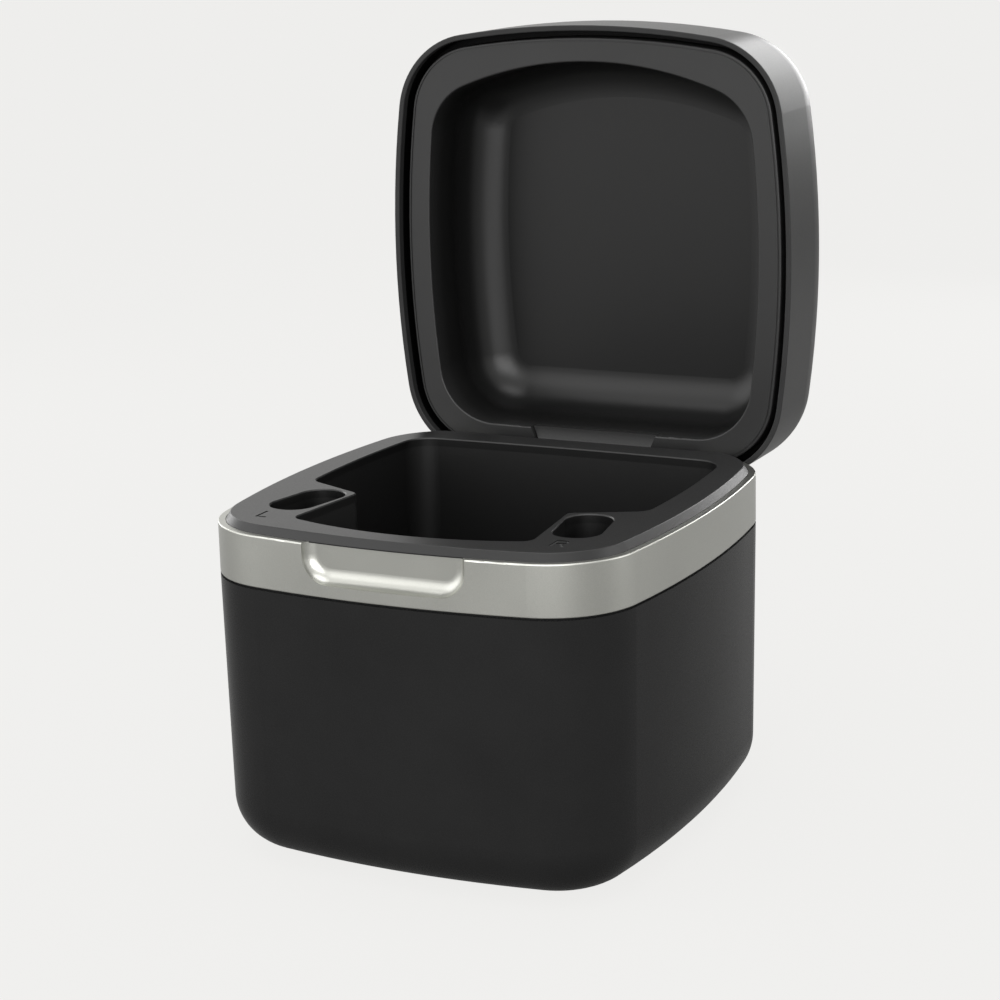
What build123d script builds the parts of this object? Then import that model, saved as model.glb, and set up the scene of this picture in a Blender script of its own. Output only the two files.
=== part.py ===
"""Charging case for a pair of hearing aids, in millimetres.

The case stands on its feet at z = 0, its front faces -Y and +Z is up. The origin is the middle of the
footprint on the floor. The lid is drawn shut, and then swung open about its hinge, which is its rest.
"""
from build123d import *
from math import atan, cos, degrees, hypot, sin
import os

# Footprint of the case: four bowed sides and four round corners, all tangent
width = 80.0
depth = 84.0
side_bow = 196.6
front_bow = 167.5
corner_radius = 15.6

# Heights, from the floor up
foot_proud = 0.6
body_height = 49.1
band_height = 8.9
deck_proud = 1.33
lid_height = 27.2

# Body: the tall moulded shell below the band
body_wall = 2.4
body_draft = 0.64
body_round = 9.3
shadow_gap = 0.35
shadow_gap_depth = 0.6
tongue_height = 1.9
tongue_root = 3.0
tongue_wall = 1.2
plateau_margin = 2.0
plateau_corner = 8.0
plateau_skin = 2.0

# Underside: cover plate, steel weight and the rubber foot ring
cover_margin = 13.0
cover_corner = 6.0
cover_thickness = 1.8
weight_margin = 4.0
weight_corner = 4.0
weight_thickness = 3.0
foot_margin = 6.5
foot_corner = 9.0
foot_ring = 5.0
foot_thickness = 1.4
foot_edge_round = 0.3
cover_screw_margin = 3.3

# Band: the bright ring round the top of the body, with the finger scoop at its front
band_lip = 1.25
band_wall = 1.6
band_ledge = 4.0
band_ledge_thickness = 2.0
band_edge_break = 0.25
deck_seat_depth = 0.2
scoop_width = 29.9
scoop_height = 6.75
scoop_depth = 2.4
scoop_corner = 4.6
scoop_round = 2.4
scoop_backing = 1.2
scoop_backing_margin = 3.0

# Deck: the raised plate with the openings
deck_bevel = 0.85
deck_top_round = 0.25
deck_rear_margin = 5.0
deck_edge_break = 0.2
deck_boss_radius = 2.4
deck_boss_length = 4.8
deck_boss_share = 0.306
deck_boss_rear_margin = 7.0
deck_boss_front_margin = 8.0
deck_boss_ear = 2.8
deck_boss_ear_thickness = 1.8

# Storage bin: one tub with a wide rear bay, a nose between the wells, and the two wells
bin_depth = 24.0
bin_wall = 1.0
bin_side_margin = 7.7
bin_rear_margin = 11.0
bin_rear_sag = 0.7
bin_rear_narrowing = 1.5
bin_rear_corner = 5.0
bin_shoulder_narrowing = 0.3
bin_shoulder_from_well = 12.5
bin_shoulder_corner = 3.0
bin_neck_beside_well = 6.0
bin_neck_from_well = 6.9
bin_neck_corner = 1.5
bin_nose_beside_well = 3.9
bin_nose_margin = 6.4
bin_nose_sag = 4.0
bin_nose_corner = 2.2
well_width = 8.2
well_length = 15.4
well_corner = 3.9
well_depth = 13.0
well_tilt = 10.0
well_side_margin = 14.1
well_front_margin = 22.2
mark_beside_well = 1.2
mark_front_margin = 10.7
mark_height = 3.8
mark_width = 2.7
mark_narrow_share = 0.75
mark_stroke = 0.45
mark_depth = 0.15

# Charging parts under each well
coil_thickness = 0.9
coil_winding = 2.0
coil_inset = 0.4
ferrite_thickness = 0.8
lead_radius = 0.6
lead_drop = 7.0

# Magnets that hold the lid shut, one pair in the deck and one in the lid
magnet_radius = 1.2
magnet_thickness = 1.8
magnet_share = 0.587

# Electronics on the floor of the body
usb_height = 16.0
usb_width = 8.94
usb_thickness = 3.26
usb_length = 7.3
usb_wall = 0.3
usb_socket_depth = 6.2
usb_tongue_width = 6.7
usb_tongue_thickness = 0.7
usb_tongue_length = 4.5
usb_recess = 0.7
board_width = 46.0
board_depth = 50.0
board_thickness = 1.6
board_corner = 2.0
post_radius = 2.6
post_spacing_x = 38.0
post_spacing_y = 42.0
tray_lift = 3.2
tray_floor = 1.4
tray_rim = 3.0
tray_wall = 1.2
battery_width = 34.0
battery_length = 44.0
battery_thickness = 6.0
battery_round = 1.2
chip_size = 7.0
chip_thickness = 1.1
driver_size = 5.0
driver_spacing = 26.0
chip_row = -13.0
plug_width = 5.0
plug_depth = 3.4
plug_height = 2.4
plug_x = 19.0
plug_y = -14.0

# Hinge: its axis lies across the rear, just under the top of the band
hinge_inset = 3.765
hinge_drop = 2.535
lid_gap = 0.3
lid_opening = 90.0
pin_radius = 1.0
knuckle_radius = 2.3
knuckle_half_width = 11.0
bracket_share = 0.26
bracket_depth = 6.6
bracket_flange_drop = 7.0
bracket_flange_thickness = 2.0
bracket_flange_half_width = 15.0
bracket_screw_x = 9.0
arm_half_width = 12.7
arm_neck_front = 0.93
arm_neck_rear = 0.85
arm_recess = 1.1
arm_toe = 0.05
arm_plate = 1.4
arm_flange_height = 7.0
arm_flange_thickness = 1.5
arm_screw_x = 7.0

# Lid: outer shell, and the liner with its bowl
lid_wall = 2.2
lid_round = 14.3
lid_rim_wall = 1.0
lid_rim_break = 0.2
lid_groove_depth = 5.5
liner_recess = 1.4
liner_wall = 1.4
liner_skirt = 1.2
liner_skirt_height = 7.0
liner_edge_round = 0.3
liner_bead = 0.45
liner_bead_gap = 0.25
liner_bead_depth = 0.2
bowl_side_margin = 6.8
bowl_rear_margin = 8.35
bowl_front_margin = 6.7
bowl_side_bow = 202.0
bowl_front_sag = 8.5
bowl_rear_bow = 3000.0
bowl_corner = 11.0
bowl_depth = 18.0
bowl_round = 8.0

# Fasteners: one small cross-head screw size serves throughout
screw_radius = 1.0
screw_head_radius = 1.75
screw_head_height = 1.2
screw_bite = 3.2
screw_slot_depth = 0.6
screw_slot_width = 0.5
screw_slot_length = 2.2

# Clearances
part_clearance = 0.1
seat_clearance = 0.15
swing_clearance = 0.3
screw_clearance = 0.15
thread_clearance = 0.03
pin_press_clearance = 0.03
pin_running_clearance = 0.06
arm_side_clearance = 0.25

# Levels and places worked out from the sizes above
underside = foot_proud
band_bottom = underside + body_height
band_top = band_bottom + band_height
deck_top = band_top + deck_proud
deck_under = band_top - deck_seat_depth
rim = band_top + lid_gap
lid_top = rim + lid_height
liner_face = rim + liner_recess
half_width = width / 2
half_depth = depth / 2
cover_width = width - 2 * cover_margin
cover_depth = depth - 2 * cover_margin
cover_screw_spacing_x = cover_width - 2 * cover_screw_margin
cover_screw_spacing_y = cover_depth - 2 * cover_screw_margin
weight_width = cover_width - 2 * weight_margin
weight_depth = cover_depth - 2 * weight_margin
foot_width = cover_width - 2 * foot_margin
foot_depth = cover_depth - 2 * foot_margin
deck_rear = half_depth - deck_rear_margin
deck_boss_x = deck_boss_share * width
well_x = half_width - well_side_margin
well_y = well_front_margin - half_depth
bin_half_width = half_width - bin_side_margin
bin_rear = half_depth - bin_rear_margin
bin_nose_front = bin_nose_margin - half_depth
bowl_half_width = half_width - bowl_side_margin
bowl_rear = half_depth - bowl_rear_margin
bowl_front = bowl_front_margin - half_depth
bowl_front_bow = (bowl_half_width**2 + bowl_front_sag**2) / (2 * bowl_front_sag)
magnet_x = magnet_share * bowl_half_width
magnet_sag = front_bow - (front_bow**2 - magnet_x**2) ** 0.5
magnet_y = magnet_sag + band_ledge + magnet_radius + seat_clearance - half_depth
bracket_half_width = bracket_share * width
hinge_y = half_depth - hinge_inset
hinge_z = band_top - hinge_drop
hinge_axis = Axis((0, hinge_y, hinge_z), (1, 0, 0))
weight_top = underside + cover_thickness + weight_thickness
floor_top = weight_top + plateau_skin
board_top = usb_height - usb_thickness / 2
board_bottom = board_top - board_thickness
tray_bottom = board_top + tray_lift
tray_top = tray_bottom + tray_floor
well_floor = deck_top - well_depth
coil_top = well_floor - bin_wall
big = 3 * (width + depth)


def tangent_outline(half_w, front, rear, side_r, front_r, rear_r, corner):
    """Face bounded by four bowed sides with a tangent round corner between each pair."""
    middle = (front + rear) / 2
    side_centre = Vector(half_w - side_r, middle)

    def corner_points(end_y, end_r, up):
        end_centre = Vector(0, end_y - up * end_r)
        reach_side = side_r - corner
        reach_end = end_r - corner
        span = end_centre - side_centre
        along = (reach_side**2 - reach_end**2 + span.length**2) / (2 * span.length)
        aside = (reach_side**2 - along**2) ** 0.5
        unit = span.normalized()
        normal = Vector(-unit.Y, unit.X) * up
        candidates = [side_centre + unit * along + normal * s * aside for s in (1, -1)]
        centre = max(candidates, key=lambda p: p.X)
        on_side = centre + (centre - side_centre).normalized() * corner
        on_end = centre + (centre - end_centre).normalized() * corner
        between = centre + ((on_side + on_end) * 0.5 - centre).normalized() * corner
        return on_side, between, on_end

    def flip(point):
        return Vector(-point.X, point.Y)

    side_f, mid_f, end_f = corner_points(front, front_r, -1)
    side_r_, mid_r, end_r = corner_points(rear, rear_r, 1)
    edges = [
        ThreePointArc(side_f, Vector(half_w, middle), side_r_),
        ThreePointArc(side_r_, mid_r, end_r),
        ThreePointArc(end_r, Vector(0, rear), flip(end_r)),
        ThreePointArc(flip(end_r), flip(mid_r), flip(side_r_)),
        ThreePointArc(flip(side_r_), Vector(-half_w, middle), flip(side_f)),
        ThreePointArc(flip(side_f), flip(mid_f), flip(end_f)),
        ThreePointArc(flip(end_f), Vector(0, front), end_f),
        ThreePointArc(end_f, mid_f, side_f),
    ]
    return make_face(edges)


def footprint(inset=0.0):
    """The case's outline, moved inwards by inset."""
    return tangent_outline(
        half_width - inset, -half_depth + inset, half_depth - inset,
        side_bow - inset, front_bow - inset, front_bow - inset, corner_radius - inset,
    )


def bowl_outline(grow=0.0):
    """The outline of the bowl in the lid, moved outwards by grow."""
    return tangent_outline(
        bowl_half_width + grow, bowl_front - grow, bowl_rear + grow,
        bowl_side_bow + grow, bowl_front_bow + grow, bowl_rear_bow + grow, bowl_corner + grow,
    )


def slab(face, low, high):
    """Prism of a flat face between two heights."""
    return extrude(Pos(0, 0, low) * face, amount=high - low, dir=(0, 0, 1))


def block(x, y, z):
    """Box from three (low, high) pairs."""
    size = [pair[1] - pair[0] for pair in (x, y, z)]
    return Pos(x[0], y[0], z[0]) * Box(*size, align=(Align.MIN,) * 3)


def rod(radius, low, high, x=0.0, y=0.0):
    """Upright cylinder between two heights."""
    return Pos(x, y, low) * Cylinder(radius, high - low, align=(Align.CENTER, Align.CENTER, Align.MIN))


def rod_across(radius, left, right, y, z):
    """Cylinder lying along X."""
    return Pos((left + right) / 2, y, z) * Rot(0, 90, 0) * Cylinder(radius, right - left)


def four(spacing_x, spacing_y):
    """The four corners of a rectangle round the origin."""
    return [(sx * spacing_x / 2, sy * spacing_y / 2) for sx in (-1, 1) for sy in (-1, 1)]


def screw(grip):
    """Screw pointing down from z = 0 under its head; grip is the thickness it passes through."""
    body = rod(screw_radius, -grip - screw_bite, 0) + rod(screw_head_radius, 0, screw_head_height)
    for turn in (0, 90):
        slot = Box(screw_slot_length, screw_slot_width, screw_slot_depth * 2)
        body -= Pos(0, 0, screw_head_height) * Rot(0, 0, turn) * slot
    return body


def shut_to_open(shape):
    """Swing a piece of the lid from shut to its rest, fully open."""
    return shape.rotate(hinge_axis, -lid_opening)


def tapered_body(inset, low, round_radius):
    """The body's outline at its top, narrowing downwards, with a rounded lower edge."""
    drop = band_bottom - low
    angle = degrees(atan(body_draft / body_height))
    top_face = Pos(0, 0, band_bottom) * footprint(inset)
    solid = extrude(top_face, amount=drop, dir=(0, 0, -1), taper=angle)
    lower_edges = solid.edges().group_by(Axis.Z)[0]
    return fillet(lower_edges, round_radius)


def deck_ear_places():
    """Where the deck is screwed to the band, seen from above."""
    rear = half_depth - deck_boss_rear_margin
    front = deck_boss_front_margin - half_depth
    return [(s * deck_boss_x, y) for s in (-1, 1) for y in (rear, front)]


def rear_notch(spare):
    """Room for the hinge bracket at the rear, from under the bracket upwards."""
    return block(
        (-bracket_half_width - spare, bracket_half_width + spare),
        (hinge_y - hinge_drop - spare, big),
        (band_top - bracket_depth - spare, big),
    )


def swing_relief():
    """What the lid's rear edge sweeps: all behind a round about the hinge axis."""
    behind = block((-big, big), (hinge_y, big), (band_top - bracket_depth - part_clearance, big))
    keep = block((-big, big), (hinge_y - big, hinge_y + hinge_drop), (0, hinge_z))
    return behind - keep - rod_across(hinge_drop, -big, big, hinge_y, hinge_z)


def base_shell():
    shell = tapered_body(0.0, underside, body_round)
    hollow_low = underside + body_wall
    shell -= tapered_body(body_wall, hollow_low, body_round - body_wall)
    shell -= slab(footprint(-1) - footprint(shadow_gap_depth), band_bottom - shadow_gap, band_bottom)
    tongue_inset = band_wall + part_clearance
    ring = footprint(tongue_inset) - footprint(tongue_inset + tongue_wall)
    shell += slab(ring, band_bottom - tongue_root, band_bottom + tongue_height)
    plateau = RectangleRounded(
        cover_width + 2 * plateau_margin, cover_depth + 2 * plateau_margin, plateau_corner
    )
    shell += slab(plateau, hollow_low, floor_top)
    shell -= slab(RectangleRounded(cover_width, cover_depth, cover_corner), 0, underside + cover_thickness)
    weight_pocket = RectangleRounded(weight_width, weight_depth, weight_corner)
    shell -= slab(weight_pocket, 0, weight_top)
    for x, y in four(cover_screw_spacing_x, cover_screw_spacing_y):
        shell -= rod(screw_radius + thread_clearance, 0, underside + cover_thickness + screw_bite + 0.5, x, y)
    for x, y in four(post_spacing_x, post_spacing_y):
        shell += rod(post_radius, weight_top + plateau_skin / 2, board_bottom, x, y)
        shell -= rod(screw_radius + thread_clearance, board_bottom - screw_bite - 0.5, board_bottom, x, y)
    shell -= rear_notch(seat_clearance)
    flange_low = band_top - bracket_depth - bracket_flange_drop
    for s in (-1, 1):
        pad_x = s * bracket_screw_x
        flange_rear = hinge_y
        pad = block(
            (pad_x - post_radius, pad_x + post_radius),
            (flange_rear, half_depth - body_wall / 2 - body_draft),
            (flange_low, band_bottom - tongue_root),
        )
        shell += pad
        shell -= Pos(pad_x, flange_rear, bracket_screw_z()) * Rot(90, 0, 0) * Cylinder(
            screw_radius + thread_clearance, 2 * (screw_bite - 0.2)
        )
    usb_hole = RectangleRounded(
        usb_width + 2 * seat_clearance, usb_thickness + 2 * seat_clearance,
        usb_thickness / 2 + seat_clearance - 0.01,
    )
    shell -= extrude(Pos(0, half_depth / 2, usb_height) * Rot(-90, 0, 0) * usb_hole, amount=half_depth)
    return shell


def bracket_screw_z():
    """Height of the screws that hold the hinge bracket."""
    flange_low = band_top - bracket_depth - bracket_flange_drop
    return (flange_low + band_bottom - tongue_root) / 2


def bottom_cover():
    plate_top = underside + cover_thickness
    outline = RectangleRounded(
        cover_width - 2 * part_clearance, cover_depth - 2 * part_clearance, cover_corner - part_clearance
    )
    cover = slab(outline, underside, plate_top)
    for x, y in four(cover_screw_spacing_x, cover_screw_spacing_y):
        cover -= rod(screw_radius + screw_clearance, 0, plate_top, x, y)
        cover -= rod(screw_head_radius + screw_clearance, 0, underside + screw_head_height, x, y)
    return cover - slab(foot_face(part_clearance), 0, foot_thickness)


def foot_face(grow=0.0):
    """Outline of the foot ring, each edge moved out of the rubber by grow."""
    outer = RectangleRounded(foot_width + 2 * grow, foot_depth + 2 * grow, foot_corner + grow)
    hole_shrink = 2 * (foot_ring + grow)
    inner = RectangleRounded(
        foot_width - hole_shrink, foot_depth - hole_shrink, foot_corner - foot_ring - grow
    )
    return outer - inner


def foot_ring_pad():
    pad = slab(foot_face(), 0, foot_thickness)
    return fillet(pad.edges().group_by(Axis.Z)[0], foot_edge_round)


def weight_plate():
    outline = RectangleRounded(
        weight_width - 2 * part_clearance, weight_depth - 2 * part_clearance, weight_corner - part_clearance
    )
    return slab(outline, underside + cover_thickness, weight_top)


def scoop_cut():
    """Finger scoop: a soft dish in the front of the band, whose walls round into its floor."""
    sunk = min(scoop_round, scoop_depth)
    flare = scoop_round - (scoop_round**2 - (scoop_round - sunk) ** 2) ** 0.5
    low = band_top - scoop_height - flare
    tall = 2 * scoop_height
    outline = RectangleRounded(scoop_width + 2 * flare, tall, scoop_corner + flare)
    face = Pos(0, -half_depth - scoop_depth, low + tall / 2) * Rot(90, 0, 0) * outline
    dish = extrude(face, amount=2 * scoop_depth, dir=(0, 1, 0))
    return fillet(dish.edges().group_by(Axis.Y)[-1], scoop_round)


def trim_band():
    ring = slab(footprint(), band_bottom, band_top)
    ring = fillet(ring.edges().group_by(Axis.Z)[0] + ring.edges().group_by(Axis.Z)[-1], band_edge_break)
    ring -= slab(footprint(band_lip), deck_under, band_top)
    ledge_under = deck_under - band_ledge_thickness
    backing = block(
        (-scoop_width / 2 - scoop_backing_margin, scoop_width / 2 + scoop_backing_margin),
        (-half_depth, -half_depth + scoop_depth + scoop_backing),
        (band_bottom + tongue_height + part_clearance, band_top),
    )
    ear_top = deck_under - deck_boss_length
    ear_low = ear_top - deck_boss_ear_thickness
    hollow = slab(footprint(band_wall), 0, ledge_under)
    ears = Part()
    for x, y in deck_ear_places():
        reach = 1 if y > 0 else -1
        end = y + reach * half_depth
        ears += rod(deck_boss_ear, ear_low, ear_top, x, y)
        ears += block(
            (x - deck_boss_ear, x + deck_boss_ear), (min(y, end), max(y, end)), (ear_low, ear_top)
        )
    ring -= hollow - backing - ears
    ring -= slab(footprint(band_ledge), ledge_under - 1, band_top) - backing
    for x, y in deck_ear_places():
        ring -= rod(deck_boss_radius + part_clearance, ear_top, band_top, x, y)
        ring -= rod(screw_radius + screw_clearance, 0, band_top, x, y)
        ring -= rod(screw_head_radius + screw_clearance, 0, ear_low, x, y)
    ring -= rear_notch(part_clearance)
    ring -= swing_relief()
    return ring - scoop_cut()


def mitred(points, grow):
    """Corners of a closed outline moved outwards, so that each side between them moves by grow."""
    moved = []
    for before, here, after in zip(points[-1:] + points[:-1], points, points[1:] + points[:1]):
        ahead = (Vector(*after) - Vector(*here)).normalized()
        behind = (Vector(*here) - Vector(*before)).normalized()
        normals = Vector(behind.Y + ahead.Y, -behind.X - ahead.X)
        moved.append(Vector(*here) + normals * (2 * grow / normals.length**2))
    return moved


def bin_face(grow=0.0):
    """Storage bay from above: wide at the rear, with a nose between the wells; moved out by grow."""
    right = [
        (well_x - bin_nose_beside_well, bin_nose_front + bin_nose_sag),
        (well_x - bin_neck_beside_well, well_y + bin_neck_from_well),
        (bin_half_width - bin_shoulder_narrowing, well_y + bin_shoulder_from_well),
        (bin_half_width - bin_rear_narrowing, bin_rear - bin_rear_sag),
    ]
    left = [(-x, y) for x, y in reversed(right)]
    corners = mitred(right + left, grow)
    nose, neck, shoulder, rear_end, far_rear, far_shoulder, far_neck, far_nose = corners
    side_middle = Vector(bin_half_width + grow, (rear_end.Y + shoulder.Y) / 2)
    edges = [
        Line(nose, neck),
        Line(neck, shoulder),
        ThreePointArc(shoulder, side_middle, rear_end),
        ThreePointArc(rear_end, (0, bin_rear + grow), far_rear),
        ThreePointArc(far_rear, (-side_middle.X, side_middle.Y), far_shoulder),
        Line(far_shoulder, far_neck),
        Line(far_neck, far_nose),
        ThreePointArc(far_nose, (0, bin_nose_front - grow), nose),
    ]
    face = make_face(edges)
    rounds = [
        bin_nose_corner + grow, bin_neck_corner - grow, bin_shoulder_corner + grow, bin_rear_corner + grow
    ]
    for corner, radius in zip(corners, rounds + rounds[::-1]):
        vertex = min(face.vertices(), key=lambda v: (Vector(v.X, v.Y) - corner).length)
        face = fillet(vertex, radius)
    return face


def well_face(side, grow=0.0):
    """Outline of one well; side is -1 for left and 1 for right."""
    outline = RectangleRounded(well_width + 2 * grow, well_length + 2 * grow, well_corner + grow)
    return Pos(side * well_x, well_y) * Rot(0, 0, side * well_tilt) * outline


def mark_face(side):
    """Plain letter, L on the left or R on the right, from straight and round strokes."""
    half = mark_height / 2
    stem = Pos(-mark_width / 2 + mark_stroke / 2, 0) * Rectangle(mark_stroke, mark_height)
    if side < 0:
        bar_width = mark_narrow_share * mark_width
        bar = Pos((bar_width - mark_width) / 2, -half + mark_stroke / 2) * Rectangle(bar_width, mark_stroke)
        letter = stem + bar
    else:
        loop = mark_height * 0.29
        ring = Pos(0, half - loop) * (Circle(loop) - Circle(loop - mark_stroke))
        right_half = Pos(mark_width / 2, half - loop) * Rectangle(mark_width, 2 * loop)
        letter = stem + (ring & right_half)
        for y in (half - mark_stroke / 2, half - 2 * loop + mark_stroke / 2):
            letter += Pos(-mark_width / 4, y) * Rectangle(mark_width / 2, mark_stroke)
        foot_y = -half + (mark_height - 2 * loop) / 2
        lean = degrees(atan((mark_width / 2 - mark_stroke / 2) / (mark_height - 2 * loop)))
        length = hypot(mark_width / 2 - mark_stroke / 2, mark_height - 2 * loop) + mark_stroke / 2
        letter += Pos(mark_width / 4, foot_y) * Rot(0, 0, lean) * Rectangle(mark_stroke, length)
    return Pos(side * (well_x + mark_beside_well), mark_front_margin - half_depth) * letter


def deck():
    angle = degrees(atan(deck_bevel / deck_proud))
    seat_inset = band_lip + part_clearance
    plate = slab(footprint(seat_inset), deck_under, band_top)
    plate += extrude(Pos(0, 0, band_top) * footprint(seat_inset), amount=deck_proud, taper=angle)
    plate -= block((-big, big), (deck_rear, big), (0, big))
    plate = fillet(plate.edges().group_by(Axis.Z)[-1], deck_top_round)
    for opening in (bin_face(), well_face(-1), well_face(1)):
        plate -= slab(opening, 0, big)
        plate -= extrude(
            Pos(0, 0, deck_top - deck_edge_break) * opening, amount=2 * deck_edge_break, taper=-45
        )
    for side in (-1, 1):
        plate -= slab(mark_face(side), deck_top - mark_depth, big)
    for x, y in deck_ear_places():
        plate += rod(deck_boss_radius, deck_under - deck_boss_length, deck_under, x, y)
        bore_top = deck_under - deck_boss_length + screw_bite + 0.5
        plate -= rod(screw_radius + thread_clearance, 0, bore_top, x, y)
    return plate


def storage_bin():
    tub = slab(bin_face(bin_wall), deck_top - bin_depth - bin_wall, deck_under)
    for side in (-1, 1):
        tub += slab(well_face(side, bin_wall), well_floor - bin_wall, deck_under)
    tub -= slab(bin_face(), deck_top - bin_depth, big)
    for side in (-1, 1):
        tub -= slab(well_face(side), well_floor, big)
    return tub


def charge_coil(side):
    ring = well_face(side, -coil_inset) - well_face(side, -coil_inset - coil_winding)
    return slab(ring, coil_top - coil_thickness, coil_top)


def ferrite_pads():
    top = coil_top - coil_thickness
    return Compound([slab(well_face(side, -coil_inset), top - ferrite_thickness, top) for side in (-1, 1)])


def coil_lead(side):
    """Insulated pair from the ferrite pad down to its plug on the board."""
    top = coil_top - coil_thickness - ferrite_thickness
    low = board_top + plug_height
    start = Vector(side * well_x, well_y, top)
    end = Vector(side * plug_x, plug_y, low)
    upper = Vector(start.X, start.Y, top - lead_drop)
    lower = Vector(end.X, end.Y, low + lead_drop)
    bend = 0.9 * lead_drop
    path = FilletPolyline(start, upper, lower, end, radius=bend)
    profile = Plane(origin=start, z_dir=(0, 0, -1)) * Circle(lead_radius)
    return sweep(profile, path=path)


def magnets(low):
    return Compound(
        [rod(magnet_radius, low, low + magnet_thickness, side * magnet_x, magnet_y) for side in (-1, 1)]
    )


def deck_screws():
    ear_low = deck_under - deck_boss_length - deck_boss_ear_thickness
    places = deck_ear_places()
    return Compound([Pos(x, y, ear_low) * Rot(180, 0, 0) * screw(deck_boss_ear_thickness) for x, y in places])


def cover_screws():
    low = underside + screw_head_height
    grip = cover_thickness - screw_head_height
    places = four(cover_screw_spacing_x, cover_screw_spacing_y)
    return Compound([Pos(x, y, low) * Rot(180, 0, 0) * screw(grip) for x, y in places])


def tray_screws():
    grip = tray_lift + tray_floor + board_thickness
    return Compound([Pos(x, y, tray_top) * screw(grip) for x, y in four(post_spacing_x, post_spacing_y)])


def main_board():
    outline = RectangleRounded(board_width, board_depth, board_corner)
    board = slab(outline, board_bottom, board_top)
    rear_tab = block(
        (-usb_width / 2 - 2, usb_width / 2 + 2),
        (board_depth / 2 - 1, half_depth - body_wall - body_draft - seat_clearance),
        (board_bottom, board_top),
    )
    board += rear_tab
    for x, y in four(post_spacing_x, post_spacing_y):
        board -= rod(screw_radius + screw_clearance, 0, big, x, y)
    return board


def usb_front():
    """Where the mouth of the inlet stands, a little inside the body's rear face."""
    lean = body_draft * (band_bottom - usb_height) / body_height
    return half_depth - lean - usb_recess


def usb_socket():
    mouth = usb_front()
    outline = RectangleRounded(usb_width, usb_thickness, usb_thickness / 2 - 0.01)
    inner = RectangleRounded(
        usb_width - 2 * usb_wall, usb_thickness - 2 * usb_wall, usb_thickness / 2 - usb_wall - 0.01
    )
    along = Pos(0, mouth, usb_height) * Rot(90, 0, 0)
    shell = extrude(along * outline, amount=usb_length) - extrude(along * inner, amount=usb_socket_depth)
    root = mouth - usb_socket_depth
    tongue = block(
        (-usb_tongue_width / 2, usb_tongue_width / 2),
        (root - (usb_length - usb_socket_depth) / 2, root + usb_tongue_length),
        (usb_height - usb_tongue_thickness / 2, usb_height + usb_tongue_thickness / 2),
    )
    return shell + tongue


def controller_chip():
    half = chip_size / 2
    return block((-half, half), (chip_row - half, chip_row + half), (board_top, board_top + chip_thickness))


def driver_chips():
    half = driver_size / 2
    row = (chip_row - half, chip_row + half)
    height = (board_top, board_top + chip_thickness)
    places = [side * driver_spacing / 2 for side in (-1, 1)]
    return Compound([block((x - half, x + half), row, height) for x in places])


def lead_plugs():
    plugs = []
    for side in (-1, 1):
        x = side * plug_x
        plugs.append(
            block(
                (x - plug_width / 2, x + plug_width / 2),
                (plug_y - plug_depth / 2, plug_y + plug_depth / 2),
                (board_top, board_top + plug_height),
            )
        )
    return Compound(plugs)


def battery_tray():
    outer_w = battery_width + 2 * (tray_wall + seat_clearance)
    outer_l = battery_length + 2 * (tray_wall + seat_clearance)
    tray = slab(RectangleRounded(outer_w, outer_l, battery_round), tray_bottom, tray_top + tray_rim)
    pocket = Rectangle(battery_width + 2 * seat_clearance, battery_length + 2 * seat_clearance)
    tray -= slab(pocket, tray_top, big)
    for x, y in four(post_spacing_x, post_spacing_y):
        tray += rod(post_radius + 0.4, board_top, tray_top, x, y)
        tray -= rod(screw_radius + screw_clearance, 0, big, x, y)
        tray -= rod(screw_head_radius + screw_clearance, tray_top, big, x, y)
    return tray


def battery_cell():
    half_w = battery_width / 2
    half_l = battery_length / 2
    cell = block((-half_w, half_w), (-half_l, half_l), (tray_top, tray_top + battery_thickness))
    return fillet(cell.edges().filter_by(Axis.Z), battery_round)


def hinge_bracket():
    low = band_top - bracket_depth
    span = (-bracket_half_width, bracket_half_width)
    body = block(span, (hinge_y - hinge_drop, hinge_y + hinge_drop), (low, hinge_z))
    body += rod_across(hinge_drop, span[0], span[1], hinge_y, hinge_z)
    body &= slab(footprint(), 0, big)
    slot = knuckle_half_width + arm_side_clearance
    body -= block(
        (-slot, slot), (0, big), (hinge_z - knuckle_radius - swing_clearance, big)
    )
    body -= rod_across(pin_radius + pin_press_clearance, span[0], span[1], hinge_y, hinge_z)
    flange_rear = hinge_y - part_clearance / 2
    flange = block(
        (-bracket_flange_half_width, bracket_flange_half_width),
        (flange_rear - bracket_flange_thickness, flange_rear),
        (low - bracket_flange_drop, low),
    )
    body += flange
    for s in (-1, 1):
        hole = Cylinder(screw_radius + screw_clearance, 2 * bracket_flange_thickness)
        body -= Pos(s * bracket_screw_x, flange_rear - bracket_flange_thickness / 2, bracket_screw_z()) * (
            Rot(90, 0, 0) * hole
        )
    return body


def hinge_screws():
    head_y = hinge_y - part_clearance / 2 - bracket_flange_thickness
    one = Rot(90, 0, 0) * screw(bracket_flange_thickness - 0.8)
    return Compound([Pos(s * bracket_screw_x, head_y, bracket_screw_z()) * one for s in (-1, 1)])


def hinge_pin():
    end = bracket_half_width - part_clearance
    return rod_across(pin_radius, -end, end, hinge_y, hinge_z)


def arm_plan(grow, rear):
    """The arm seen from above: a trapezium from the bowl back to its neck, then straight to rear."""
    front = bowl_rear - grow
    neck = hinge_y - arm_neck_front
    wide = arm_half_width + grow
    narrow = knuckle_half_width + grow
    return make_face(
        Polyline(
            (-wide, front), (wide, front), (narrow, neck), (narrow, rear), (-narrow, rear), (-narrow, neck),
            close=True,
        )
    )


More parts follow.
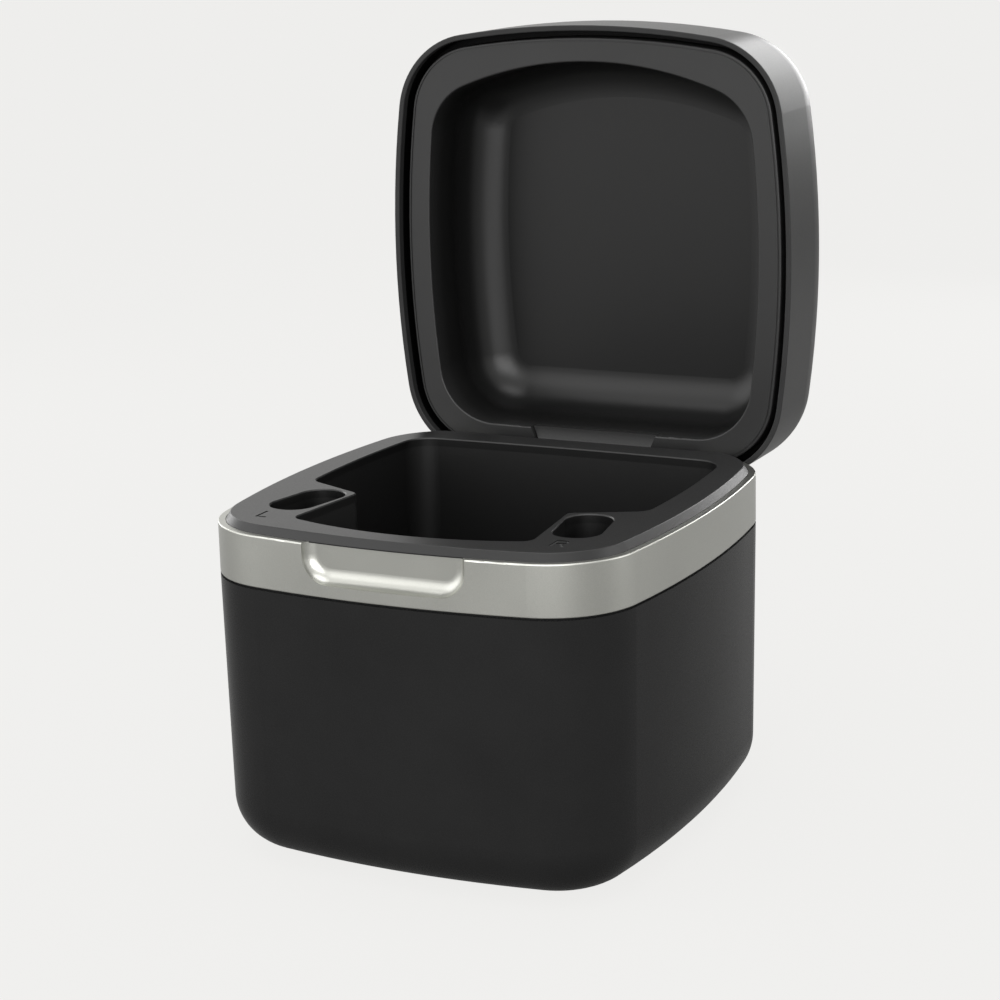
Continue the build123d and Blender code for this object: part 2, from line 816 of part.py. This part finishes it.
def hinge_arm():
    """Lid side of the hinge: knuckle, neck, and the curved plate that closes the bowl's rim."""
    neck_front = hinge_y - arm_neck_front
    neck_rear = hinge_y + arm_neck_rear
    plate_front = liner_face + arm_recess
    plate_toe = liner_face - arm_toe
    plate_top = plate_front + arm_plate
    flange_front = neck_rear - arm_flange_thickness
    run = neck_front - bowl_rear
    drop = plate_front - plate_toe
    curve = (run**2 + drop**2) / (2 * drop)
    half_turn = atan(run / (curve - drop)) / 2
    middle = (bowl_rear + curve * sin(half_turn), plate_front - curve * (1 - cos(half_turn)))
    underside_arc = ThreePointArc((bowl_rear, plate_front), middle, (neck_front, plate_toe))
    rest_of_profile = Polyline(
        (neck_front, plate_toe), (neck_front, hinge_z), (neck_rear, hinge_z),
        (neck_rear, plate_top + arm_flange_height), (flange_front, plate_top + arm_flange_height),
        (flange_front, plate_top), (bowl_rear, plate_top), (bowl_rear, plate_front),
    )
    profile = Plane.YZ * make_face([underside_arc, *rest_of_profile.edges()])
    arm = extrude(profile, amount=arm_half_width, both=True)
    arm &= slab(arm_plan(0.0, neck_rear), 0, big)
    arm += rod_across(knuckle_radius, -knuckle_half_width, knuckle_half_width, hinge_y, hinge_z)
    arm -= rod_across(pin_radius + pin_running_clearance, -big, big, hinge_y, hinge_z)
    for s in (-1, 1):
        hole = Cylinder(screw_radius + screw_clearance, 2 * arm_flange_thickness)
        arm -= Pos(s * arm_screw_x, neck_rear, arm_screw_z()) * Rot(90, 0, 0) * hole
    return arm


def arm_screw_z():
    """Height of the arm's screws while the lid is shut."""
    return liner_face + arm_recess + arm_plate + arm_flange_height / 2


def arm_screws():
    head_y = hinge_y + arm_neck_rear - arm_flange_thickness
    return Compound(
        [Pos(s * arm_screw_x, head_y, arm_screw_z()) * Rot(90, 0, 0) * screw(arm_flange_thickness - 1.2)
         for s in (-1, 1)]
    )


def lid_blank(inset, low, high, round_radius):
    """Solid form of the lid between two heights, with a rounded top edge."""
    solid = slab(footprint(inset), low, high)
    return fillet(solid.edges().group_by(Axis.Z)[-1], round_radius)


def lid_shell():
    shell = lid_blank(0.0, rim, lid_top, lid_round)
    shell -= lid_blank(lid_wall, rim - 1, lid_top - lid_wall, lid_round - lid_wall)
    shell -= slab(footprint(lid_rim_wall), rim - 1, rim + lid_groove_depth)
    shell = fillet(shell.edges().group_by(Axis.Z)[0], lid_rim_break)
    pad_front = hinge_y + arm_neck_rear
    for s in (-1, 1):
        x = s * arm_screw_x
        shell += block(
            (x - post_radius, x + post_radius), (pad_front, half_depth - lid_wall / 2),
            (arm_screw_z() - post_radius, arm_screw_z() + post_radius),
        )
        bite = Cylinder(screw_radius + thread_clearance, 2 * (screw_bite - 1.0))
        shell -= Pos(x, pad_front, arm_screw_z()) * Rot(90, 0, 0) * bite
    return shell


def lid_liner():
    inset = lid_wall + part_clearance
    top = liner_face + bowl_depth + liner_wall
    ring = footprint(inset) - footprint(inset + liner_skirt)
    body = slab(footprint(inset), liner_face, liner_face + liner_wall)
    body += slab(ring, liner_face, liner_face + liner_skirt_height)
    cup = slab(bowl_outline(liner_wall), liner_face, top)
    cup = fillet(cup.edges().group_by(Axis.Z)[-1], bowl_round + liner_wall)
    hollow = slab(bowl_outline(), liner_face - 1, top - liner_wall)
    hollow = fillet(hollow.edges().group_by(Axis.Z)[-1], bowl_round)
    body = body + cup - hollow
    lower_edges = body.edges().group_by(Axis.Z)[0]
    body = fillet(lower_edges, liner_edge_round)
    bead_line = footprint(inset + liner_bead) - footprint(inset + liner_bead + liner_bead_gap)
    body -= slab(bead_line, liner_face, liner_face + liner_bead_depth)
    arm_top = liner_face + arm_recess + arm_plate + arm_side_clearance
    body -= slab(arm_plan(arm_side_clearance, half_depth), 0, arm_top)
    behind = block(
        (-arm_half_width, arm_half_width),
        (hinge_y + arm_neck_rear - arm_flange_thickness - screw_head_height - swing_clearance, half_depth),
        (0, liner_face + liner_skirt_height + 1),
    )
    return body - behind


def base_pieces():
    """Every piece that stays still, by name."""
    pieces = {
        "base_shell": base_shell(),
        "bottom_cover": bottom_cover(),
        "rubber_foot": foot_ring_pad(),
        "weight_plate": weight_plate(),
        "cover_screws": cover_screws(),
        "trim_band": trim_band(),
        "deck": deck(),
        "deck_screws": deck_screws(),
        "storage_bin": storage_bin(),
        "ferrite_pads": ferrite_pads(),
        "deck_magnets": magnets(deck_under - magnet_thickness),
        "main_board": main_board(),
        "usb_socket": usb_socket(),
        "controller_chip": controller_chip(),
        "driver_chips": driver_chips(),
        "lead_plugs": lead_plugs(),
        "battery_tray": battery_tray(),
        "battery_cell": battery_cell(),
        "tray_screws": tray_screws(),
        "hinge_bracket": hinge_bracket(),
        "hinge_screws": hinge_screws(),
        "hinge_pin": hinge_pin(),
    }
    for side, word in ((-1, "left"), (1, "right")):
        pieces["charge_coil_" + word] = charge_coil(side)
        pieces["coil_lead_" + word] = coil_lead(side)
    return pieces


def lid_pieces():
    """Every piece that swings with the lid, by name, drawn shut."""
    return {
        "lid_shell": lid_shell(),
        "lid_liner": lid_liner(),
        "hinge_arm": hinge_arm(),
        "arm_screws": arm_screws(),
        "lid_magnets": magnets(liner_face + liner_wall),
    }


os.makedirs("parts", exist_ok=True)
for name, piece in base_pieces().items():
    export_step(piece, f"parts/{name}.step")
for name, piece in lid_pieces().items():
    export_step(shut_to_open(piece), f"parts/{name}.step")
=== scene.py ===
"""Looks of the hearing aid charger: finishes, lights, floor and camera, in metres."""
import math

import bpy
from mathutils import Matrix, Vector


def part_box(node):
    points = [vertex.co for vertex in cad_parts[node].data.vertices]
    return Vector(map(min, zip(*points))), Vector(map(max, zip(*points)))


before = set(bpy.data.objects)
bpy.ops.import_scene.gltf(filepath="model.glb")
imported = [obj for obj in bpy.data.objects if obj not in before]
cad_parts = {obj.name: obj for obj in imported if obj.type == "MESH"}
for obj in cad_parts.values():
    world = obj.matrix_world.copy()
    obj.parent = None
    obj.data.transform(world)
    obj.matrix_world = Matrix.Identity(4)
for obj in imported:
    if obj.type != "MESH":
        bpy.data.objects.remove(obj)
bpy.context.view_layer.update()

# Camera, placed where the photograph was taken from
camera_place = (0.19268, -0.38959, 0.16585)
camera_azimuth = math.radians(26.18)
camera_elevation = math.radians(14.02)
camera_roll = math.radians(-1.48)
camera_lens = 92.38
camera_sensor = 36.0
camera_near = 0.01

# Studio
backdrop_level = 0.935
floor_matte_level = 0.30
backdrop_tint = (1.0, 0.995, 0.98)
floor_reach = 12.0
floor_glow_share = 0.88
floor_glow_in_gloss = 0.12
studio_grey = 0.48

# Soft lamps: name, azimuth, distance, middle height, width, height, brightness
lamps = (
    ("left_front", -52.0, 0.50, 0.25, 0.42, 0.50, 1.1),
    ("right_front", 18.0, 0.46, 0.20, 0.46, 0.28, 3.7),
    ("right", 110.0, 0.50, 0.24, 0.24, 0.46, 2.1),
    ("left_rear", -112.0, 0.50, 0.18, 0.20, 0.36, 2.6),
    ("rear", 174.0, 0.60, 0.26, 0.30, 0.32, 5.0),
)

# Even lights from far away: name, azimuth, elevation, strength, angle that they fill
suns = (
    ("overhead", 30.0, 82.0, 1.1, 50.0),
    ("sky", -60.0, 45.0, 0.6, 90.0),
)

# Sizes of surface detail, and how deep the fine ones are
plastic_grain = 0.00022
plastic_depth = 0.000004
paint_flake = 0.00012
flake_depth = 0.0000015
broad_patch = 0.018

# A noise texture gives few values outside this range
noise_low = 0.3
noise_high = 0.7

# Copper turns and circuit tracks: how dense each pattern is, and how deep
turns_scale = 2500.0
turns_depth = 0.00003
track_scale = 260.0
track_gap = 0.06
track_depth = 0.00002

# Upward share of a face's normal: walls have less than the first, level floors more than the second
wall_below = 0.3
floor_above = 0.9

# Where the painted shade inside the groove of the lid's rim starts, and the middle of the lid's opening
painted_groove_shade_starts = 0.0426
lid_middle = (0.0, 0.040, 0.0943)

# How far inside the liner's bowl its painted shade starts and is full
bowl_painted_shade_starts = 0.0005
bowl_painted_shade_full = 0.0050

# How far the letters beside the wells are sunk, and how exactly their floors are found
mark_depth = 0.00015
mark_spare = 0.00005


def grey(level):
    return (level, level, level)


def towards(azimuth, elevation):
    """Direction from the middle, with azimuth 0 at the front; both angles in radians."""
    flat = math.cos(elevation)
    return Vector((math.sin(azimuth) * flat, -math.cos(azimuth) * flat, math.sin(elevation)))


def new_material(name):
    material = bpy.data.materials.new(name)
    material.use_nodes = True
    tree = material.node_tree
    tree.nodes.clear()
    return material, tree


def add(tree, kind, **settings):
    node = tree.nodes.new(kind)
    for key, value in settings.items():
        setattr(node, key, value)
    return node


def noise(tree, size, detail=2.0, rough=0.5):
    """Noise whose features are about size across, in the object's own space."""
    place = add(tree, "ShaderNodeTexCoord")
    texture = add(tree, "ShaderNodeTexNoise")
    texture.inputs["Scale"].default_value = 1.0 / size
    texture.inputs["Detail"].default_value = detail
    texture.inputs["Roughness"].default_value = rough
    tree.links.new(place.outputs["Object"], texture.inputs["Vector"])
    return texture.outputs["Fac"]


def spread(tree, factor, low, high):
    """A noise factor mapped on low to high."""
    ranged = add(tree, "ShaderNodeMapRange")
    limits = {"From Min": noise_low, "From Max": noise_high, "To Min": low, "To Max": high}
    for socket, value in limits.items():
        ranged.inputs[socket].default_value = value
    tree.links.new(factor, ranged.inputs["Value"])
    return ranged.outputs["Result"]


def blend_colours(tree, factor, dark, light):
    mix = add(tree, "ShaderNodeMix", data_type="RGBA")
    colours = [socket for socket in mix.inputs if socket.type == "RGBA"]
    colours[0].default_value = (*dark, 1.0)
    colours[1].default_value = (*light, 1.0)
    tree.links.new(factor, mix.inputs["Factor"])
    return next(socket for socket in mix.outputs if socket.type == "RGBA")


def bump(tree, height, depth):
    node = add(tree, "ShaderNodeBump")
    node.inputs["Strength"].default_value = 1.0
    node.inputs["Distance"].default_value = depth
    tree.links.new(height, node.inputs["Height"])
    return node.outputs["Normal"]


def finish_surface(tree, shader):
    output = add(tree, "ShaderNodeOutputMaterial")
    tree.links.new(shader.outputs[0], output.inputs["Surface"])


def mix_over(tree, mask, under, over, kind):
    """The linked value under, or the plain value over where mask is 1; kind is RGBA or VALUE."""
    mix = add(tree, "ShaderNodeMix", data_type="RGBA" if kind == "RGBA" else "FLOAT")
    sockets = [socket for socket in mix.inputs if socket.type == kind and socket.name != "Factor"]
    tree.links.new(under, sockets[0])
    sockets[1].default_value = over
    factor = next(socket for socket in mix.inputs if socket.name == "Factor" and socket.type == "VALUE")
    tree.links.new(mask, factor)
    return next(socket for socket in mix.outputs if socket.type == kind)


def plastic(name, dark, light, gloss, grain=plastic_grain, depth=plastic_depth, patch=broad_patch,
            specular=0.5, ior=1.45, shades=()):
    """Moulded plastic: fine grain, faint change of shade, roughness that varies between the gloss pair.

    Each of shades is a function that makes a mask in the tree, and the colour and roughness that the
    surface takes where the mask is 1.
    """
    material, tree = new_material(name)
    shader = add(tree, "ShaderNodeBsdfPrincipled")
    fine = noise(tree, grain, detail=3.0)
    broad = noise(tree, patch, detail=4.0, rough=0.6)
    colour = blend_colours(tree, spread(tree, broad, 0.0, 1.0), dark, light)
    roughness = spread(tree, fine, gloss[0], gloss[1])
    for make_mask, shade_colour, shade_roughness in shades:
        mask = make_mask(tree)
        colour = mix_over(tree, mask, colour, (*shade_colour, 1.0), "RGBA")
        roughness = mix_over(tree, mask, roughness, shade_roughness, "VALUE")
    tree.links.new(colour, shader.inputs["Base Color"])
    tree.links.new(roughness, shader.inputs["Roughness"])
    tree.links.new(bump(tree, fine, depth), shader.inputs["Normal"])
    shader.inputs["Specular IOR Level"].default_value = specular
    shader.inputs["IOR"].default_value = ior
    finish_surface(tree, shader)
    return material


def compare(tree, kind, value, limit):
    node = add(tree, "ShaderNodeMath", operation=kind)
    tree.links.new(value, node.inputs[0])
    node.inputs[1].default_value = limit
    return node.outputs[0]


def both(tree, one, other):
    node = add(tree, "ShaderNodeMath", operation="MULTIPLY")
    tree.links.new(one, node.inputs[0])
    tree.links.new(other, node.inputs[1])
    return node.outputs[0]


def coordinate(tree, kind, axis):
    """One axis of a surface point's place (kind Object) or of its normal (kind Normal)."""
    place = add(tree, "ShaderNodeTexCoord")
    parts = add(tree, "ShaderNodeSeparateXYZ")
    tree.links.new(place.outputs[kind], parts.inputs[0])
    return parts.outputs[axis]


def painted_wall_shade(tree):
    """Painted shade: 1 on upright faces, which on the deck are the sides of its openings, there made as
    dark as the bin.
    """
    return compare(tree, "LESS_THAN", coordinate(tree, "Normal", "Z"), wall_below)


def sunk_marks(tree):
    """1 on the floors of the letters sunk in the deck."""
    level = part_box("deck")[1][2] - mark_depth
    height = coordinate(tree, "Object", "Z")
    above = compare(tree, "GREATER_THAN", height, level - mark_spare)
    below = compare(tree, "LESS_THAN", height, level + mark_spare)
    upwards = compare(tree, "GREATER_THAN", coordinate(tree, "Normal", "Z"), floor_above)
    return both(tree, both(tree, above, below), upwards)


def painted_bowl_shade(tree):
    """Painted shade: rises from 0 at the liner's face to 1 inside its bowl, darker where less light
    reaches.
    """
    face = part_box("lid_liner")[0][1]
    ranged = add(tree, "ShaderNodeMapRange")
    ranged.inputs["From Min"].default_value = face + bowl_painted_shade_starts
    ranged.inputs["From Max"].default_value = face + bowl_painted_shade_full
    tree.links.new(coordinate(tree, "Object", "Y"), ranged.inputs["Value"])
    return ranged.outputs["Result"]


def painted_groove_shade(tree):
    """Painted shade: 1 on the inward faces of the lid shell deeper than its rim, which makes its groove
    near black.
    """
    deep = compare(tree, "GREATER_THAN", coordinate(tree, "Object", "Y"), painted_groove_shade_starts)
    place = add(tree, "ShaderNodeTexCoord")
    outwards = add(tree, "ShaderNodeVectorMath", operation="SUBTRACT")
    tree.links.new(place.outputs["Object"], outwards.inputs[0])
    outwards.inputs[1].default_value = lid_middle
    facing = add(tree, "ShaderNodeVectorMath", operation="DOT_PRODUCT")
    tree.links.new(outwards.outputs["Vector"], facing.inputs[0])
    tree.links.new(place.outputs["Normal"], facing.inputs[1])
    return both(tree, deep, compare(tree, "LESS_THAN", facing.outputs["Value"], 0.0))


def metal(name, dark, light, gloss, grain, depth):
    """Metal or metallic paint with a fine flake in its shade and its gloss."""
    material, tree = new_material(name)
    shader = add(tree, "ShaderNodeBsdfPrincipled")
    flake = noise(tree, grain, detail=2.0, rough=0.7)
    broad = noise(tree, broad_patch, detail=3.0)
    colour = blend_colours(tree, spread(tree, flake, 0.0, 1.0), dark, light)
    tree.links.new(colour, shader.inputs["Base Color"])
    tree.links.new(spread(tree, broad, gloss[0], gloss[1]), shader.inputs["Roughness"])
    tree.links.new(bump(tree, flake, depth), shader.inputs["Normal"])
    shader.inputs["Metallic"].default_value = 1.0
    finish_surface(tree, shader)
    return material


def winding():
    """Enamelled copper turns: fine rings that follow each coil."""
    material, tree = new_material("copper_winding")
    shader = add(tree, "ShaderNodeBsdfPrincipled")
    place = add(tree, "ShaderNodeTexCoord")
    wave = add(tree, "ShaderNodeTexWave", bands_direction="Z")
    wave.inputs["Scale"].default_value = turns_scale
    tree.links.new(place.outputs["Object"], wave.inputs["Vector"])
    colour = blend_colours(tree, wave.outputs["Fac"], (0.30, 0.10, 0.03), (0.72, 0.34, 0.14))
    tree.links.new(colour, shader.inputs["Base Color"])
    tree.links.new(bump(tree, wave.outputs["Fac"], turns_depth), shader.inputs["Normal"])
    shader.inputs["Metallic"].default_value = 1.0
    shader.inputs["Roughness"].default_value = 0.3
    finish_surface(tree, shader)
    return material


def circuit():
    """Green solder mask over faint straight tracks."""
    material, tree = new_material("solder_mask")
    shader = add(tree, "ShaderNodeBsdfPrincipled")
    place = add(tree, "ShaderNodeTexCoord")
    tracks = add(tree, "ShaderNodeTexBrick")
    tracks.inputs["Scale"].default_value = track_scale
    tracks.inputs["Mortar Size"].default_value = track_gap
    tracks.inputs["Color1"].default_value = (0.006, 0.07, 0.03, 1.0)
    tracks.inputs["Color2"].default_value = (0.008, 0.085, 0.035, 1.0)
    tracks.inputs["Mortar"].default_value = (0.02, 0.15, 0.06, 1.0)
    tree.links.new(place.outputs["Object"], tracks.inputs["Vector"])
    tree.links.new(tracks.outputs["Color"], shader.inputs["Base Color"])
    tree.links.new(bump(tree, tracks.outputs["Fac"], track_depth), shader.inputs["Normal"])
    shader.inputs["Roughness"].default_value = 0.35
    finish_surface(tree, shader)
    return material


def dress(material, *nodes):
    """Give CAD nodes a material."""
    for node in nodes:
        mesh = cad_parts[node].data
        mesh.materials.clear()
        mesh.materials.append(material)


def make_materials():
    body = plastic("body_satin", grey(0.0150), grey(0.0178), gloss=(0.24, 0.30), ior=1.3, specular=0.2)
    dress(body, "base_shell", "bottom_cover", "battery_tray")
    # The groove inside the lid's rim gets painted shade, near black.
    lid = plastic("lid_graphite", grey(0.030), grey(0.036), gloss=(0.30, 0.37), ior=1.3, specular=0.3,
                  shades=((painted_groove_shade, grey(0.001), 0.5),))
    dress(lid, "lid_shell")
    band = metal("band_silver", (0.430, 0.433, 0.404), (0.510, 0.513, 0.478), gloss=(0.30, 0.36),
                 grain=paint_flake, depth=flake_depth)
    dress(band, "trim_band")
    # The sides of the deck's openings get painted shade, as dark as the bin.
    deck = plastic("deck_satin", grey(0.016), grey(0.019), gloss=(0.34, 0.40), specular=0.4,
                   shades=((painted_wall_shade, grey(0.002), 0.4), (sunk_marks, grey(0.045), 0.9)))
    dress(deck, "deck")
    tub = plastic("bin_black", grey(0.002), grey(0.003), gloss=(0.42, 0.5))
    dress(tub, "storage_bin")
    # The liner's bowl gets painted shade, darker further inside.
    liner = plastic("liner_satin", grey(0.018), grey(0.021), gloss=(0.34, 0.40),
                    shades=((painted_bowl_shade, grey(0.0055), 0.34),))
    dress(liner, "lid_liner")
    hinge = plastic("hinge_satin", grey(0.014), grey(0.017), gloss=(0.32, 0.40))
    dress(hinge, "hinge_arm", "hinge_bracket")
    rubber = plastic("foot_rubber", grey(0.010), grey(0.016), gloss=(0.7, 0.85), grain=0.0004,
                     depth=0.00002, patch=0.006)
    dress(rubber, "rubber_foot")
    steel = metal("plated_steel", (0.50, 0.50, 0.51), grey(0.60), gloss=(0.25, 0.38), grain=0.0002,
                  depth=0.000002)
    dress(steel, "weight_plate", "cover_screws", "deck_screws", "deck_magnets", "usb_socket", "tray_screws",
          "hinge_screws", "hinge_pin", "arm_screws", "lid_magnets")
    ferrite = plastic("ferrite_grey", (0.035, 0.035, 0.04), (0.05, 0.05, 0.055), gloss=(0.55, 0.7),
                      grain=0.0003)
    dress(ferrite, "ferrite_pads")
    chip = plastic("chip_epoxy", grey(0.010), (0.016, 0.016, 0.017), gloss=(0.3, 0.45), grain=0.00015)
    dress(chip, "controller_chip", "driver_chips")
    nylon = plastic("plug_nylon", (0.60, 0.57, 0.50), (0.70, 0.67, 0.60), gloss=(0.4, 0.5))
    dress(nylon, "lead_plugs")
    wrap = plastic("battery_film", (0.12, 0.16, 0.22), (0.15, 0.20, 0.27), gloss=(0.18, 0.3),
                   grain=0.0008, depth=0.00001)
    dress(wrap, "battery_cell")
    wire = plastic("wire_insulation", (0.20, 0.012, 0.012), (0.28, 0.02, 0.02), gloss=(0.4, 0.5))
    dress(wire, "coil_lead_left", "coil_lead_right")
    dress(winding(), "charge_coil_left", "charge_coil_right")
    dress(circuit(), "main_board")


def seen_directly(tree, in_gloss=1.0):
    """1 for rays from the camera and through glass, in_gloss for reflections, 0 for light on the object."""
    path = add(tree, "ShaderNodeLightPath")
    mirrored = add(tree, "ShaderNodeMath", operation="MULTIPLY")
    mirrored.inputs[1].default_value = in_gloss
    tree.links.new(path.outputs["Is Glossy Ray"], mirrored.inputs[0])
    total = mirrored.outputs[0]
    for output in ("Is Camera Ray", "Is Transmission Ray"):
        larger = add(tree, "ShaderNodeMath", operation="MAXIMUM")
        tree.links.new(total, larger.inputs[0])
        tree.links.new(path.outputs[output], larger.inputs[1])
        total = larger.outputs[0]
    return total


def make_world():
    world = bpy.data.worlds.new("studio")
    bpy.context.scene.world = world
    world.use_nodes = True
    tree = world.node_tree
    tree.nodes.clear()
    pale = add(tree, "ShaderNodeBackground")
    pale.inputs["Color"].default_value = (*[backdrop_level * c for c in backdrop_tint], 1.0)
    light = add(tree, "ShaderNodeBackground")
    light.inputs["Color"].default_value = (*grey(studio_grey), 1.0)
    mix = add(tree, "ShaderNodeMixShader")
    tree.links.new(seen_directly(tree), mix.inputs[0])
    tree.links.new(light.outputs[0], mix.inputs[1])
    tree.links.new(pale.outputs[0], mix.inputs[2])
    output = add(tree, "ShaderNodeOutputWorld")
    tree.links.new(mix.outputs[0], output.inputs["Surface"])


def make_floor():
    mesh = bpy.data.meshes.new("floor")
    r = floor_reach
    mesh.from_pydata([(-r, -r, 0), (r, -r, 0), (r, r, 0), (-r, r, 0)], [], [(0, 1, 2, 3)])
    floor = bpy.data.objects.new("floor", mesh)
    bpy.context.scene.collection.objects.link(floor)
    material, tree = new_material("pale_floor")
    matte = add(tree, "ShaderNodeBsdfDiffuse")
    matte.inputs["Color"].default_value = (*[floor_matte_level * c for c in backdrop_tint], 1.0)
    glow = add(tree, "ShaderNodeEmission")
    glow.inputs["Color"].default_value = (*[backdrop_level * c for c in backdrop_tint], 1.0)
    share = add(tree, "ShaderNodeMath", operation="MULTIPLY")
    share.inputs[1].default_value = floor_glow_share
    tree.links.new(seen_directly(tree, floor_glow_in_gloss / floor_glow_share), share.inputs[0])
    mix = add(tree, "ShaderNodeMixShader")
    tree.links.new(share.outputs[0], mix.inputs[0])
    tree.links.new(matte.outputs[0], mix.inputs[1])
    tree.links.new(glow.outputs[0], mix.inputs[2])
    finish_surface(tree, mix)
    mesh.materials.append(material)


def lamp_at(name, place, aim, size, brightness):
    """Rectangular lamp at place that faces aim; brightness is what its face shows."""
    lamp = bpy.data.lights.new(name, "AREA")
    lamp.shape = "RECTANGLE"
    lamp.size, lamp.size_y = size
    lamp.energy = brightness * math.pi * size[0] * size[1]
    holder = bpy.data.objects.new(name, lamp)
    holder.location = place
    holder.rotation_euler = (Vector(aim) - Vector(place)).to_track_quat("-Z", "Y").to_euler()
    holder.visible_camera = False
    bpy.context.scene.collection.objects.link(holder)


def sun(name, azimuth, elevation, strength, angle):
    """Even light from far away, so that the whole floor is as bright as the middle."""
    lamp = bpy.data.lights.new(name, "SUN")
    lamp.energy = strength
    lamp.angle = math.radians(angle)
    holder = bpy.data.objects.new(name, lamp)
    source = towards(math.radians(azimuth), math.radians(elevation))
    holder.rotation_euler = source.to_track_quat("Z", "Y").to_euler()
    bpy.context.scene.collection.objects.link(holder)


def make_lights():
    for name, azimuth, distance, height, wide, tall, brightness in lamps:
        az = math.radians(azimuth)
        place = (math.sin(az) * distance, -math.cos(az) * distance, height)
        lamp_at(name, place, (0.0, 0.0, height), (wide, tall), brightness)
    for settings in suns:
        sun(*settings)


def make_camera():
    back = towards(camera_azimuth, camera_elevation)
    level = Vector((math.cos(camera_azimuth), math.sin(camera_azimuth), 0.0))
    upright = back.cross(level)
    right = level * math.cos(camera_roll) + upright * math.sin(camera_roll)
    up = upright * math.cos(camera_roll) - level * math.sin(camera_roll)
    data = bpy.data.cameras.new("camera")
    data.lens = camera_lens
    data.sensor_width = camera_sensor
    data.clip_start = camera_near
    camera = bpy.data.objects.new("camera", data)
    turned = Matrix((right, up, back)).transposed().to_4x4()
    camera.matrix_world = Matrix.Translation(camera_place) @ turned
    bpy.context.scene.collection.objects.link(camera)
    bpy.context.scene.camera = camera


bpy.context.scene.view_settings.view_transform = "Standard"
make_camera()
make_world()
make_floor()
make_lights()
make_materials()
